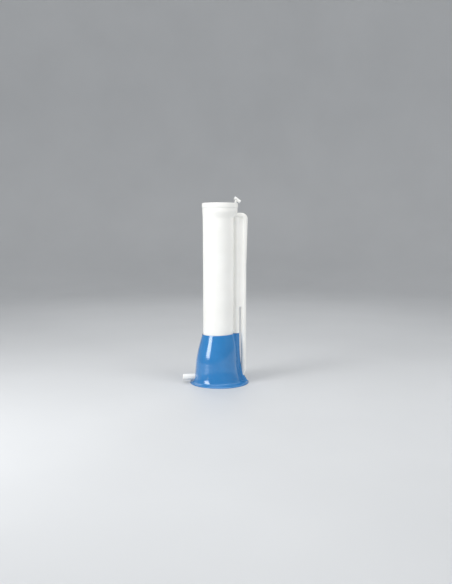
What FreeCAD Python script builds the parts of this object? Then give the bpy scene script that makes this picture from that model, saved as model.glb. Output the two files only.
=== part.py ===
import FreeCAD, Part
import math
import os
import re
import Sketcher

# Automatic siphon rinser for laboratory pipettes: a tall vessel with a siphon moulded along one
# side, standing in a flared foot, with a lift-out support plate and a lift-out pipette basket.
# Millimetres. +Z is up, the vessel's lower chamber runs along Z, the siphon stands on +X,
# and the origin is the centre of the vessel's flat bottom, on the surface that it stands on.

SIZES = {
    # vessel: straight chamber, slight taper, then a wider neck set towards the siphon
    "wall": 3.0,
    "floor_thickness": 4.0,
    "cut_spare": 1.0,
    "chamber_radius": 61.0,
    "chamber_top": 470.0,
    "taper_radius": 61.2,
    "taper_shift": -0.2,
    "taper_top": 658.0,
    "neck_radius": 69.2,
    "neck_shift": 6.5,
    "neck_bottom": 690.0,
    "vessel_top": 716.0,
    # rim collar over the mouth
    "collar_radius": 71.9,
    "collar_bottom": 702.0,
    "total_height": 720.0,
    "collar_round": 3.5,
    # siphon moulding
    "riser_offset": 72.3,
    "riser_radius": 12.5,
    "shoulder_height": 670.5,
    "bend_radius": 12.6,
    "bore_radius": 8.0,
    "bore_bend_radius": 13.0,
    "down_top_offset": 104.9,
    "down_offset": 101.65,
    "down_radius": 10.75,
    "web_thickness": 18.0,
    "riser_web_thickness": 19.0,
    "riser_web_reach": 10.0,
    "slot_top": 306.0,
    "slot_width": 6.1,
    "riser_seat": 201.0,
    "riser_foot_radius": 9.8,
    "riser_foot_bore": 7.0,
    "riser_foot_bottom": 14.0,
    "riser_foot_gap": 0.2,
    "riser_well_gap": 1.0,
    "riser_sump_depth": 2.0,
    "down_blank_bottom": 10.0,
    "mouth_outer_x": 113.4,
    "mouth_outer_height": 53.1,
    "mouth_slope": 25.6,
    "mouth_cutter_width": 80.0,
    "mouth_cutter_height": 120.0,
    "mouth_cutter_drop": 100.0,
    "port_height": 32.0,
    "port_radius": 7.0,
    "port_bore": 5.5,
    "port_end": 66.0,
    "port_cut_inside": 20.0,
    "port_cut_outside": 2.0,
    # foot
    "skirt_radial_wall": 1.6,
    "skirt_drop": 2.6,
    # inlet
    "inlet_angle": 186.0,
    "inlet_height": 23.5,
    "inlet_tail_radius": 12.0,
    "inlet_root_radius": 12.4,
    "inlet_tail_start": 100.0,
    "inlet_bore": 5.0,
    "inlet_tail_bore": 8.0,
    "inlet_bore_step": 80.0,
    "inlet_bore_cone": 3.0,
    "inlet_shank_radius": 7.0,
    "inlet_flange_radius": 14.2,
    "inlet_flange_thickness": 5.0,
    "inlet_boss_inner": 54.0,
    "inlet_boss_outer": 64.0,
    "inlet_boss_radius": 14.6,
    "inlet_tip": 144.0,
    "inlet_tip_chamfer": 1.5,
    "inlet_shank_spare": 2.0,
    "inlet_seal_thickness": 2.0,
    "inlet_nut_radius": 9.6,
    "inlet_nut_thickness": 5.0,
    "inlet_hole_gap": 0.6,
    "inlet_hole_spare": 5.0,
    # lift-out support plate
    "plate_radius": 56.0,
    "plate_bottom": 40.0,
    "plate_thickness": 4.0,
    "plate_foot_radius": 4.5,
    "plate_foot_neck": 3.0,
    "plate_foot_offset": 42.0,
    "plate_foot_count": 3,
    "plate_neck_root": 2.0,
    "drain_hole_radius": 2.5,
    "drain_ring_inner": 11.0,
    "drain_ring_middle": 20.0,
    "drain_ring_outer": 29.0,
    "drain_holes_per_ring": 12,
    # pipette basket
    "sleeve_radius": 53.0,
    "sleeve_wall": 2.0,
    "sleeve_top": 610.0,
    "sleeve_hole_radius": 4.0,
    "sleeve_hole_pitch": 34.0,
    "sleeve_hole_start": 80.0,
    "sleeve_hole_rows": 16,
    "sleeve_hole_columns": 6,
    "sleeve_hole_turn": 15.0,
    "base_bottom": 54.0,
    "base_thickness": 4.0,
    "hoop_radius": 55.0,
    "hoop_height": 16.0,
    "hoop_lip": 3.0,
    "rivet_radius": 1.6,
    "rivet_head_radius": 3.2,
    "rivet_head_thickness": 1.2,
    "rivet_count": 4,
    "rivet_turn": 45.0,
    "base_rivet_length": 7.0,
    "hoop_rivet_rise": 1.0,
    "rod_radius": 4.5,
    "rod_offset": 42.0,
    "rod_bottom": 47.0,
    "rod_bend_height": 636.0,
    "rod_lean": 17.0,
    "rod_lean_length": 104.7,
    "rod_end_spare": 2.0,
    "rod_nut_radius": 8.0,
    "rod_nut_thickness": 5.0,
    "clip_radius": 6.3,
    "clip_height": 12.0,
    "clip_foot_width": 6.0,
    "clip_pitch": 220.0,
    "clip_start": 110.0,
    "clip_count": 3,
    # hook on top of the rod
    "hook_length": 28.6,
    "hook_radius": 6.2,
    "hook_tilt": 35.8,
    "hook_grip_share": 0.36,
    "hook_pin_radius": 1.5,
}

# Foot outline: each row is the centre's shift along X, the radius and the height, and goes into
# the sheet too. The bell carries the lobe round the riser, and the flat brim that it stands on.
BELL_ROWS = [
    (0.0, 65.5, 198.5),
    (0.0, 68.0, 188.0),
    (-1.0, 73.6, 163.0),
    (-2.4, 78.2, 140.0),
    (-4.2, 81.7, 114.0),
    (-5.9, 84.4, 88.0),
    (-6.6, 85.8, 64.0),
    (-5.8, 88.2, 45.0),
    (-5.0, 91.0, 30.0),
    (-4.0, 94.0, 16.0),
    (-3.4, 95.6, 7.0),
    (-3.2, 96.2, 0.0),
]
BRIM_ROWS = [
    (-4.0, 94.0, 14.0),
    (-2.6, 98.0, 9.5),
    (-0.8, 104.6, 6.4),
    (1.9, 110.6, 5.4),
    (4.0, 119.5, 2.9),
    (4.0, 119.5, 0.0),
]
LOBE_ROWS = [
    (72.3, 12.7, 201.0),
    (73.0, 12.75, 158.0),
    (74.5, 12.9, 116.0),
    (77.5, 13.4, 75.0),
    (83.0, 14.5, 50.0),
    (89.0, 15.6, 30.0),
    (96.5, 17.2, 15.0),
    (100.0, 18.0, 7.0),
    (101.5, 18.3, 0.0),
]

FORMS = {"bell": BELL_ROWS, "lobe": LOBE_ROWS, "brim": BRIM_ROWS}
for form, rows in FORMS.items():
    for number, row in enumerate(rows):
        for column, value in zip(("shift", "radius", "height"), row):
            SIZES["%s_%d_%s" % (form, number, column)] = value

# two lengths are the same if they differ by less than this
NEAR = 0.01

doc = FreeCAD.newDocument("pipette_rinser")
sheet = doc.addObject("Spreadsheet::Sheet", "sizes")
for row, (alias, value) in enumerate(SIZES.items(), start=1):
    sheet.set("A%d" % row, alias)
    sheet.set("B%d" % row, str(value))
    sheet.setAlias("B%d" % row, alias)
doc.recompute()

ALIASES = re.compile(r"\b(%s)\b" % "|".join(SIZES))
SUB_PARTS = []


def size(alias):
    """The sheet's value of one driving dimension."""
    return float(sheet.get(alias))


def bind(item, formulas):
    """Bind properties of a document object to formulas in the sheet's aliases."""
    for name, formula in formulas.items():
        item.setExpression(name, ALIASES.sub(r"sizes.\1", str(formula)))
    return item


def sub_part(item, label):
    """Mark an object as a finished piece that is written to its own file."""
    item.Label = label
    SUB_PARTS.append(item)
    return item


def cylinder(name, radius, height, x="0", y="0", z="0"):
    """An upright cylinder."""
    item = doc.addObject("Part::Cylinder", name)
    place = {"Placement.Base.x": x, "Placement.Base.y": y, "Placement.Base.z": z}
    return bind(item, {"Radius": radius, "Height": height, **place})


def lying_cylinder(name, radius, height, x, y, z, axis, angle):
    """A cylinder turned by an angle in degrees about an axis."""
    item = cylinder(name, radius, height, x, y, z)
    item.Placement.Rotation = FreeCAD.Rotation(axis, angle)
    return item


def block(name, length, width, height, x, y, z):
    """A box with its lowest corner at x, y, z."""
    item = doc.addObject("Part::Box", name)
    place = {"Placement.Base.x": x, "Placement.Base.y": y, "Placement.Base.z": z}
    return bind(item, {"Length": length, "Width": width, "Height": height, **place})


def stack(name, sections, ruled=True):
    """A solid through level circles, each given as centre X, radius and height."""
    circles = []
    for number, (x, radius, z) in enumerate(sections):
        ring = doc.addObject("Part::Circle", "%s_ring_%d" % (name, number))
        circles.append(bind(ring, {"Radius": radius, "Placement.Base.x": x, "Placement.Base.z": z}))
    loft = doc.addObject("Part::Loft", name)
    loft.Sections = circles
    loft.Solid = True
    loft.Ruled = ruled
    return loft


def fuse(name, *pieces):
    """One solid from several."""
    item = doc.addObject("Part::MultiFuse", name)
    item.Shapes = list(pieces)
    item.Refine = True
    return item


def cut(name, base, tool):
    """The base without the tool."""
    item = doc.addObject("Part::Cut", name)
    item.Base = base
    item.Tool = tool
    item.Refine = True
    return item


def common(name, *pieces):
    """The space that all the pieces share."""
    item = doc.addObject("Part::MultiCommon", name)
    item.Shapes = list(pieces)
    return item


def group(name, pieces):
    """Separate solids that share one node."""
    item = doc.addObject("Part::Compound", name)
    item.Links = list(pieces)
    return item


def body(name):
    """An empty PartDesign body."""
    return doc.addObject("PartDesign::Body", name)


def sketch_on(part, role, name, level="0"):
    """A sketch on one of the body's own origin planes, lifted along the plane's normal."""
    plane = [item for item in part.Origin.OriginFeatures if item.Role == role][0]
    sketch = part.newObject("Sketcher::SketchObject", name)
    sketch.AttachmentSupport = (plane, [""])
    sketch.MapMode = "FlatFace"
    bind(sketch, {"AttachmentOffset.Base.z": level})
    return sketch


def fix_point(sketch, geometry, point, name, start, across, along):
    """Tie one sketch point, drawn at start, to two formulas measured from the sketch's origin."""
    for kind, drawn, formula in (("DistanceX", start.x, across), ("DistanceY", start.y, along)):
        number = sketch.addConstraint(Sketcher.Constraint(kind, -1, 1, geometry, point, drawn))
        sketch.renameConstraint(number, "%s_%s" % (name, kind[-1]))
        bind(sketch, {"Constraints.%s_%s" % (name, kind[-1]): formula})


def draw_outline(sketch, corners):
    """A closed outline, drawn as a small polygon whose corners are then tied to formulas."""
    count = len(corners)
    turns = [2 * math.pi * number / count for number in range(count)]
    middle = FreeCAD.Vector(2, 2, 0)
    points = [middle + FreeCAD.Vector(math.cos(turn), math.sin(turn), 0) for turn in turns]
    for number in range(count):
        sketch.addGeometry(Part.LineSegment(points[number], points[(number + 1) % count]), False)
    for number in range(count):
        following = (number + 1) % count
        sketch.addConstraint(Sketcher.Constraint("Coincident", number, 2, following, 1))
    for number, (across, along) in enumerate(corners):
        fix_point(sketch, number, 1, "corner%d" % number, points[number], across, along)


def draw_circle(sketch, name, across, along, radius):
    """A circle whose centre and radius are tied to formulas."""
    start = FreeCAD.Vector(1, 1, 0)
    number = sketch.addGeometry(Part.Circle(start, FreeCAD.Vector(0, 0, 1), 1.0), False)
    constraint = sketch.addConstraint(Sketcher.Constraint("Radius", number, 1.0))
    sketch.renameConstraint(constraint, name + "_R")
    bind(sketch, {"Constraints.%s_R" % name: radius})
    fix_point(sketch, number, 3, name, start, across, along)


def turned(label, corners):
    """A body turned about its own Z axis from an outline of radius and height."""
    part = body(label)
    sketch = sketch_on(part, "XZ_Plane", label + "_outline")
    draw_outline(sketch, corners)
    doc.recompute()
    turn = part.newObject("PartDesign::Revolution", label + "_turn")
    turn.Profile = sketch
    turn.ReferenceAxis = (sketch, ["V_Axis"])
    turn.Angle = 360.0
    part.Tip = turn
    doc.recompute()
    return part


def build_vessel(outer, siphon_port):
    """White vessel: chamber, taper and neck in one wall, a floor and the inlet's flat boss."""
    inner_chamber = cylinder(
        "chamber_space", "chamber_radius - wall", "chamber_top - floor_thickness", z="floor_thickness"
    )
    inner_upper = stack(
        "upper_space",
        [
            ("0", "chamber_radius - wall", "chamber_top"),
            ("taper_shift", "taper_radius - wall", "taper_top"),
            ("neck_shift", "neck_radius - wall", "neck_bottom"),
        ],
    )
    inner_neck = cylinder(
        "neck_space",
        "neck_radius - wall",
        "vessel_top - neck_bottom + cut_spare",
        x="neck_shift",
        z="neck_bottom",
    )
    space = fuse("vessel_space", inner_chamber, inner_upper, inner_neck)
    shell = cut("vessel_shell", outer, space)
    boss = inlet_cylinder("inlet_boss", "inlet_boss_radius", "inlet_boss_inner", "inlet_boss_outer")
    with_boss = fuse("vessel_with_boss", shell, boss)
    hole = inlet_cylinder(
        "inlet_hole",
        "inlet_shank_radius",
        "inlet_boss_inner - inlet_hole_spare",
        "inlet_boss_outer + inlet_hole_spare",
    )
    holes = fuse("vessel_holes", hole, siphon_port)
    return sub_part(cut("vessel_drilled", with_boss, holes), "rinser_vessel")


def inlet_cylinder(name, radius, start, end):
    """A level cylinder on the inlet's axis, between two distances from the vessel's axis."""
    angle = "inlet_angle * 1 deg"
    item = doc.addObject("Part::Cylinder", name)
    bind(
        item,
        {
            "Radius": radius,
            "Height": "(%s) - (%s)" % (end, start),
            "Placement.Base.x": "(%s) * cos(%s)" % (start, angle),
            "Placement.Base.y": "(%s) * sin(%s)" % (start, angle),
            "Placement.Base.z": "inlet_height",
        },
    )
    item.Placement.Rotation = inlet_rotation()
    return item


def inlet_rotation():
    """Turns +Z onto the inlet's level axis."""
    flat = FreeCAD.Rotation(FreeCAD.Vector(0, 1, 0), 90)
    swing = FreeCAD.Rotation(FreeCAD.Vector(0, 0, 1), size("inlet_angle"))
    return swing.multiply(flat)


def build_rim_collar():
    """Thick ring that caps the mouth, its top corner rounded."""
    collar = turned(
        "collar_ring",
        [
            ("neck_radius", "collar_bottom"),
            ("collar_radius", "collar_bottom"),
            ("collar_radius", "total_height"),
            ("neck_radius - wall", "total_height"),
            ("neck_radius - wall", "vessel_top"),
            ("neck_radius", "vessel_top"),
        ],
    )
    bind(collar, {"Placement.Base.x": "neck_shift"})
    doc.recompute()
    top_edges = []
    for number, edge in enumerate(collar.Shape.Edges, start=1):
        box = edge.BoundBox
        level = box.ZLength < NEAR and abs(box.ZMin - size("total_height")) < NEAR
        if level and abs(box.XLength - 2 * size("collar_radius")) < NEAR:
            top_edges.append((number, size("collar_round"), size("collar_round")))
    rounded = doc.addObject("Part::Fillet", "collar_rounded")
    rounded.Base = collar
    rounded.Edges = top_edges
    return sub_part(rounded, "rim_collar")


def siphon_bend(name, bend, radius, centre_x, centre_z, turn):
    """A quarter bend in the XZ plane."""
    item = doc.addObject("Part::Torus", name)
    item.Angle3 = 90.0
    place = {"Placement.Base.x": centre_x, "Placement.Base.z": centre_z}
    bind(item, {"Radius1": bend, "Radius2": radius, **place})
    upright = FreeCAD.Rotation(FreeCAD.Vector(1, 0, 0), 90)
    item.Placement.Rotation = upright.multiply(FreeCAD.Rotation(FreeCAD.Vector(0, 0, 1), turn))
    return item


def along_x(name, radius, start, end, height):
    """A level cylinder along X."""
    across = FreeCAD.Vector(0, 1, 0)
    return lying_cylinder(name, radius, "(%s) - (%s)" % (end, start), start, "0", height, across, 90)


def build_siphon(vessel_outer, foot_outer):
    """Siphon moulding: riser, level shoulder, bend, tapering downpipe and the web between them."""
    bend_centre_x = "down_top_offset - bend_radius"
    bend_centre_z = "shoulder_height - bend_radius"
    outer = fuse(
        "siphon_outer",
        cylinder("riser", "riser_radius", "shoulder_height - riser_seat", x="riser_offset", z="riser_seat"),
        cylinder(
            "riser_foot",
            "riser_foot_radius",
            "riser_seat - riser_foot_bottom",
            x="riser_offset",
            z="riser_foot_bottom",
        ),
        along_x(
            "shoulder",
            "riser_radius",
            "riser_offset - 2 * riser_radius",
            bend_centre_x,
            "shoulder_height",
        ),
        siphon_bend("outer_bend", "bend_radius", "riser_radius", bend_centre_x, bend_centre_z, 0),
        stack(
            "downpipe_taper",
            [
                ("down_offset", "down_radius", "chamber_top"),
                ("down_top_offset", "riser_radius", bend_centre_z),
            ],
        ),
        cylinder(
            "downpipe",
            "down_radius",
            "chamber_top - down_blank_bottom",
            x="down_offset",
            z="down_blank_bottom",
        ),
        block(
            "web",
            "down_offset - riser_offset",
            "web_thickness",
            "shoulder_height - slot_top",
            "riser_offset",
            "-web_thickness / 2",
            "slot_top",
        ),
        block(
            "riser_web",
            "riser_radius + riser_web_reach",
            "riser_web_thickness",
            "shoulder_height - riser_seat",
            "riser_offset - riser_radius - riser_web_reach",
            "-riser_web_thickness / 2",
            "riser_seat",
        ),
    )
    bore_bend_z = "shoulder_height - bore_bend_radius"
    first_bend_x = "riser_offset + bore_bend_radius"
    second_bend_x = "down_top_offset - bore_bend_radius"
    bore = fuse(
        "siphon_bore",
        cylinder(
            "riser_bore",
            "bore_radius",
            "%s - riser_seat" % bore_bend_z,
            x="riser_offset",
            z="riser_seat",
        ),
        cylinder(
            "riser_foot_space",
            "riser_foot_bore",
            "riser_seat - port_height + riser_foot_bore + riser_sump_depth",
            x="riser_offset",
            z="port_height - riser_foot_bore - riser_sump_depth",
        ),
        siphon_bend("first_bore_bend", "bore_bend_radius", "bore_radius", first_bend_x, bore_bend_z, 90),
        along_x("shoulder_bore", "bore_radius", first_bend_x, second_bend_x, "shoulder_height"),
        siphon_bend("second_bore_bend", "bore_bend_radius", "bore_radius", second_bend_x, bore_bend_z, 0),
        stack(
            "downpipe_taper_bore",
            [
                ("down_offset", "bore_radius", "chamber_top"),
                ("down_top_offset", "bore_radius", bore_bend_z),
            ],
        ),
        cylinder("downpipe_bore", "bore_radius", "chamber_top", x="down_offset", z="0"),
    )
    slot_end = lying_cylinder(
        "slot_end",
        "slot_width / 2",
        "4 * web_thickness",
        "(riser_offset + riser_radius + down_offset - down_radius) / 2",
        "2 * web_thickness",
        "slot_top",
        FreeCAD.Vector(1, 0, 0),
        90,
    )
    mouth = block(
        "mouth_cut",
        "mouth_cutter_width",
        "mouth_cutter_width",
        "mouth_cutter_height",
        "mouth_outer_x - mouth_cutter_drop * sin(mouth_slope * 1 deg)",
        "-mouth_cutter_width / 2",
        "mouth_outer_height - mouth_cutter_drop * cos(mouth_slope * 1 deg)",
    )
    mouth.Placement.Rotation = FreeCAD.Rotation(FreeCAD.Vector(0, 1, 0), size("mouth_slope"))
    port = along_x("riser_port", "port_radius", "chamber_radius", "riser_offset", "port_height")
    removed = fuse("siphon_removed", bore, slot_end, mouth, port)
    hollow = cut("siphon_hollow", outer, removed)
    on_vessel = cut("siphon_on_vessel", hollow, vessel_outer)
    riser_well = cylinder("riser_well", "riser_foot_radius + riser_well_gap", "riser_seat", x="riser_offset")
    below_flare = cut("below_flare", foot_outer, riser_well)
    return sub_part(cut("siphon_on_foot", on_vessel, below_flare), "siphon_tube")


def foot_form(form, name, inwards="0", down="0", ruled=False):
    """The foot's bell, lobe or brim, moved inwards and down if it makes an inner face."""
    rows = []
    for number in range(len(FORMS[form])):
        row = "%s_%d_" % (form, number)
        rows.append((row + "shift", "%sradius - %s" % (row, inwards), "%sheight - %s" % (row, down)))
    return stack(name, rows, ruled)


def foot_solid(name, inwards="0", down="0"):
    """Bell and lobe together."""
    return fuse(
        name,
        foot_form("bell", name + "_bell", inwards, down),
        foot_form("lobe", name + "_lobe", inwards, down),
    )


def build_foot(foot_outer, vessel_outer):
    """Blue foot: a thin bell with a lobe round the riser, closed on top round the vessel."""
    shell = cut("foot_shell", foot_outer, foot_solid("foot_space", "skirt_radial_wall", "skirt_drop"))
    inlet_opening = inlet_cylinder(
        "foot_inlet_opening", "inlet_root_radius + inlet_hole_gap", "inlet_boss_outer", "inlet_tip"
    )
    riser_opening = cylinder(
        "foot_riser_opening",
        "riser_foot_radius + riser_foot_gap",
        "riser_seat",
        x="riser_offset",
        z="riser_foot_bottom",
    )
    openings = fuse("foot_openings", vessel_outer, inlet_opening, riser_opening)
    return sub_part(cut("foot_open", shell, openings), "foot_skirt")


def build_inlet():
    """Hose inlet: plain tail, root, collar and shank in one, with a seal outside and a nut inside."""
    shank_end = "inlet_boss_inner - inlet_nut_thickness - inlet_shank_spare"
    flange_start = "inlet_boss_outer + inlet_seal_thickness"
    flange_end = flange_start + " + inlet_flange_thickness"
    corners = [
        ("inlet_bore", shank_end),
        ("inlet_shank_radius", shank_end),
        ("inlet_shank_radius", flange_start),
        ("inlet_flange_radius", flange_start),
        ("inlet_flange_radius", flange_end),
        ("inlet_root_radius", flange_end),
        ("inlet_root_radius", "inlet_tail_start"),
        ("inlet_tail_radius", "inlet_tail_start"),
        ("inlet_tail_radius", "inlet_tip - inlet_tip_chamfer"),
        ("inlet_tail_radius - inlet_tip_chamfer", "inlet_tip"),
        ("inlet_tail_bore", "inlet_tip"),
        ("inlet_tail_bore", "inlet_bore_step + inlet_bore_cone"),
        ("inlet_bore", "inlet_bore_step"),
    ]
    spigot = turned("inlet_spigot", corners)
    seal = turned(
        "inlet_seal",
        ring_outline(
            "inlet_shank_radius", "inlet_flange_radius", "inlet_boss_outer", "inlet_seal_thickness"
        ),
    )
    nut_start = "inlet_boss_inner - inlet_nut_thickness"
    nut = turned(
        "inlet_locknut",
        ring_outline("inlet_shank_radius", "inlet_nut_radius", nut_start, "inlet_nut_thickness"),
    )
    for item in (spigot, seal, nut):
        item.Placement = FreeCAD.Placement(FreeCAD.Vector(0, 0, size("inlet_height")), inlet_rotation())
        bind(item, {"Placement.Base.z": "inlet_height"})
        sub_part(item, item.Name)


def ring_outline(inner, outer, start, thickness):
    """The four corners of a plain ring."""
    end = "%s + %s" % (start, thickness)
    return [(inner, start), (outer, start), (outer, end), (inner, end)]


def drilled_disc(label, radius, bottom, thickness, extra_circles):
    """A disc with three rings of drain holes and a few further holes."""
    part = body(label)
    outline = sketch_on(part, "XY_Plane", label + "_outline", bottom)
    draw_circle(outline, "edge", "0", "0", radius)
    for number, (across, along, hole) in enumerate(extra_circles):
        draw_circle(outline, "hole%d" % number, across, along, hole)
    doc.recompute()
    pad = part.newObject("PartDesign::Pad", label + "_pad")
    pad.Profile = outline
    bind(pad, {"Length": thickness})
    part.Tip = pad
    doc.recompute()
    drains = sketch_on(part, "XY_Plane", label + "_drains", bottom)
    for ring in ("inner", "middle", "outer"):
        draw_circle(drains, ring, "drain_ring_" + ring, "0", "drain_hole_radius")
    doc.recompute()
    pocket = part.newObject("PartDesign::Pocket", label + "_pocket")
    pocket.Profile = drains
    pocket.Midplane = True
    bind(pocket, {"Length": "4 * %s" % thickness})
    part.Tip = pocket
    doc.recompute()
    around = part.newObject("PartDesign::PolarPattern", label + "_around")
    around.Originals = [pocket]
    around.Axis = (drains, ["N_Axis"])
    around.Angle = 360.0
    around.Occurrences = int(size("drain_holes_per_ring"))
    part.Tip = around
    doc.recompute()
    return part


def around_axis(number, count, start):
    """Angle in degrees of one of several equally spaced items."""
    return start + 360.0 * number / count


def build_support_plate():
    """Perforated false bottom on three pressed-in feet."""
    count = int(size("plate_foot_count"))
    angles = [around_axis(number, count, size("inlet_angle") - 180.0) for number in range(count)]
    places = []
    for angle in angles:
        across = "plate_foot_offset * cos(%.1f deg)" % angle
        along = "plate_foot_offset * sin(%.1f deg)" % angle
        places.append((across, along))
    holes = [(across, along, "plate_foot_neck") for across, along in places]
    plate = drilled_disc("plate_disc", "plate_radius", "plate_bottom", "plate_thickness", holes)
    sub_part(plate, "support_plate")
    feet = []
    for number, (across, along) in enumerate(places):
        post = cylinder(
            "foot_post_%d" % number,
            "plate_foot_radius",
            "plate_bottom - floor_thickness",
            across,
            along,
            "floor_thickness",
        )
        neck = cylinder(
            "foot_neck_%d" % number,
            "plate_foot_neck",
            "plate_thickness + plate_neck_root",
            across,
            along,
            "plate_bottom - plate_neck_root",
        )
        feet.append(fuse("plate_foot_%d" % number, post, neck))
    sub_part(group("plate_feet_group", feet), "plate_feet")


def radial_rivets(label, height, inner, outer):
    """Small rivets whose shanks run radially, each with a round head outside."""
    rivets = []
    count = int(size("rivet_count"))
    for number in range(count):
        angle = around_axis(number, count, size("rivet_turn"))
        name = "%s_%d" % (label, number)
        shank = radial_cylinder(name + "_shank", "rivet_radius", inner, outer, height, angle)
        head_end = "%s + rivet_head_thickness" % outer
        head = radial_cylinder(name + "_head", "rivet_head_radius", outer, head_end, height, angle)
        rivets.append(fuse(name, shank, head))
    return sub_part(group(label + "_group", rivets), label)


def radial_cylinder(name, radius, start, end, height, angle):
    """A level cylinder that points away from the vessel's axis at an angle."""
    item = doc.addObject("Part::Cylinder", name)
    bind(
        item,
        {
            "Radius": radius,
            "Height": "(%s) - (%s)" % (end, start),
            "Placement.Base.x": "(%s) * cos(%.1f deg)" % (start, angle),
            "Placement.Base.y": "(%s) * sin(%.1f deg)" % (start, angle),
            "Placement.Base.z": height,
        },
    )
    flat = FreeCAD.Rotation(FreeCAD.Vector(0, 1, 0), 90)
    item.Placement.Rotation = FreeCAD.Rotation(FreeCAD.Vector(0, 0, 1), angle).multiply(flat)
    return item


def build_basket():
    """Pipette basket: perforated sleeve and base, a hoop, a lifting rod with its clips and nuts."""
    rod = build_rod()
    inside = "sleeve_radius - sleeve_wall"
    base_rivets = radial_rivets(
        "base_rivets",
        "base_bottom + base_thickness / 2",
        "sleeve_radius - base_rivet_length",
        "sleeve_radius",
    )
    hoop_rivets = radial_rivets(
        "hoop_rivets", "sleeve_top - hoop_height / 2 + hoop_rivet_rise", inside, "hoop_radius"
    )
    rod_hole = ("rod_offset", "0", "rod_radius")
    base = drilled_disc("base_disc", inside, "base_bottom", "base_thickness", [rod_hole])
    sub_part(cut("base_riveted", base, base_rivets), "basket_base")
    rivets = fuse("sleeve_rivets", *(base_rivets.Links + hoop_rivets.Links))
    sub_part(cut("sleeve_riveted", build_sleeve(), rivets), "basket_sleeve")
    hoop = turned(
        "hoop_ring",
        [
            ("sleeve_radius", "sleeve_top + hoop_lip - hoop_height"),
            ("hoop_radius", "sleeve_top + hoop_lip - hoop_height"),
            ("hoop_radius", "sleeve_top + hoop_lip"),
            (inside, "sleeve_top + hoop_lip"),
            (inside, "sleeve_top"),
            ("sleeve_radius", "sleeve_top"),
        ],
    )
    sub_part(cut("hoop_riveted", hoop, hoop_rivets), "basket_hoop")
    build_clips(rod)
    nut = doc.addObject("Part::Prism", "nut_blank")
    nut.Polygon = 6
    bind(
        nut,
        {
            "Circumradius": "rod_nut_radius",
            "Height": "rod_nut_thickness",
            "Placement.Base.x": "rod_offset",
            "Placement.Base.z": "base_bottom - rod_nut_thickness",
        },
    )
    sub_part(cut("nut_bored", nut, rod), "rod_nut")
    collar = cylinder(
        "stop_blank", "rod_nut_radius", "rod_nut_thickness", x="rod_offset", z="base_bottom + base_thickness"
    )
    sub_part(cut("stop_bored", collar, rod), "rod_stop_collar")


def build_sleeve():
    """Open tube with upright columns of drain holes."""
    part = body("sleeve_tube")
    ring = sketch_on(part, "XY_Plane", "sleeve_ring", "plate_bottom + plate_thickness")
    draw_circle(ring, "outside", "0", "0", "sleeve_radius")
    draw_circle(ring, "inside", "0", "0", "sleeve_radius - sleeve_wall")
    doc.recompute()
    pad = part.newObject("PartDesign::Pad", "sleeve_pad")
    pad.Profile = ring
    bind(pad, {"Length": "sleeve_top - plate_bottom - plate_thickness"})
    part.Tip = pad
    doc.recompute()
    column = sketch_on(part, "XZ_Plane", "hole_column")
    column.AttachmentOffset = FreeCAD.Placement(
        FreeCAD.Vector(0, 0, 0), FreeCAD.Rotation(FreeCAD.Vector(0, 1, 0), size("sleeve_hole_turn"))
    )
    for number in range(int(size("sleeve_hole_rows"))):
        height = "sleeve_hole_start + %d * sleeve_hole_pitch" % number
        draw_circle(column, "hole%d" % number, "0", height, "sleeve_hole_radius")
    doc.recompute()
    pocket = part.newObject("PartDesign::Pocket", "hole_pocket")
    pocket.Profile = column
    pocket.Midplane = True
    bind(pocket, {"Length": "3 * sleeve_radius"})
    part.Tip = pocket
    doc.recompute()
    around = part.newObject("PartDesign::PolarPattern", "holes_around")
    around.Originals = [pocket]
    around.Axis = (ring, ["N_Axis"])
    columns = int(size("sleeve_hole_columns"))
    around.Angle = 180.0 - 180.0 / columns
    around.Occurrences = columns
    part.Tip = around
    doc.recompute()
    return part


def build_rod():
    """Lifting rod: upright inside the sleeve, leaning outwards above it, pinned into the hook."""
    lean = "rod_lean * 1 deg"
    joint_x = "rod_offset + rod_lean_length * sin(%s)" % lean
    joint_z = "rod_bend_height + rod_lean_length * cos(%s)" % lean
    upright = cylinder(
        "rod_upright", "rod_radius", "rod_bend_height - rod_bottom", x="rod_offset", z="rod_bottom"
    )
    bend = doc.addObject("Part::Sphere", "rod_bend")
    place = {"Placement.Base.x": "rod_offset", "Placement.Base.z": "rod_bend_height"}
    bind(bend, {"Radius": "rod_radius", **place})
    across = FreeCAD.Vector(0, 1, 0)
    leaning = lying_cylinder(
        "rod_leaning",
        "rod_radius",
        "rod_lean_length + rod_end_spare",
        "rod_offset",
        "0",
        "rod_bend_height",
        across,
        size("rod_lean"),
    )
    pin = lying_cylinder(
        "hook_pin_blank",
        "hook_pin_radius",
        "2 * hook_radius",
        joint_x,
        "hook_radius",
        joint_z,
        FreeCAD.Vector(1, 0, 0),
        90,
    )
    rod = sub_part(cut("rod_drilled", fuse("rod_blank", upright, bend, leaning), pin), "lifting_rod")
    tilt = "hook_tilt * 1 deg"
    bar = lying_cylinder(
        "hook_bar",
        "hook_radius",
        "hook_length",
        "%s - hook_grip_share * hook_length * cos(%s)" % (joint_x, tilt),
        "0",
        "%s + hook_grip_share * hook_length * sin(%s)" % (joint_z, tilt),
        across,
        90 + size("hook_tilt"),
    )
    bored = cut("hook_bored", bar, fuse("hook_bores", leaning, pin))
    sub_part(bored, "hook_grip")
    sub_part(common("hook_pin_trimmed", pin, bar), "hook_pin")
    return rod


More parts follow.
